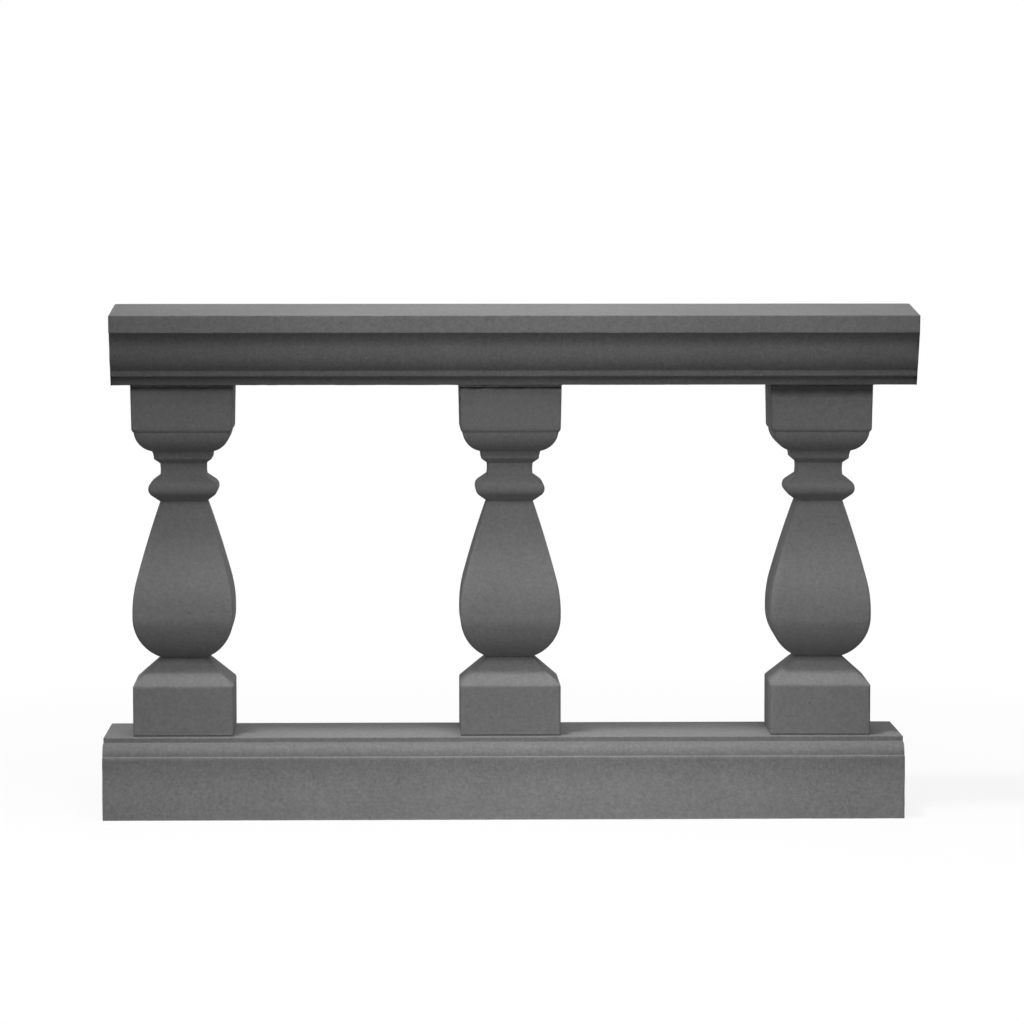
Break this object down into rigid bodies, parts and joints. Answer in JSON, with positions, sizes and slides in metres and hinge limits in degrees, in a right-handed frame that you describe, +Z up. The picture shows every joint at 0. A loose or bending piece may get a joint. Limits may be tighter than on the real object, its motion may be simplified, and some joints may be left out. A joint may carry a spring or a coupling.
{
  "type": "balustrade",
  "caption": "Charcoal cast stone balustrade bay: square vase balusters pinned between a moulded plinth rail and a sloped, moulded coping.",
  "frame": {"origin": "on the underside of the plinth rail, at the middle of the whole bay", "axes": "+X along the bay, +Z up, the front faces -Y"},
  "size_m": [1.0128, 0.232, 0.64],
  "materials": {
    "rail_stone": "matte fine-grained cast stone, charcoal",
    "baluster_stone": "matte fine-grained cast stone, charcoal",
    "bed_mortar": "dark raked mortar",
    "dowel_steel": "plain drawn stainless steel"
  },
  "bodies": {
    "root": {"plinth": "rail_stone", "coping": "rail_stone", "baluster_left": "baluster_stone", "baluster_middle": "baluster_stone", "baluster_right": "baluster_stone", "foot_bed_left": "bed_mortar", "foot_bed_middle": "bed_mortar", "foot_bed_right": "bed_mortar", "head_bed_left": "bed_mortar", "head_bed_middle": "bed_mortar", "head_bed_right": "bed_mortar", "foot_dowel_left": "dowel_steel", "foot_dowel_middle": "dowel_steel", "foot_dowel_right": "dowel_steel", "head_dowel_left": "dowel_steel", "head_dowel_middle": "dowel_steel", "head_dowel_right": "dowel_steel"}
  },
  "joints": []
}
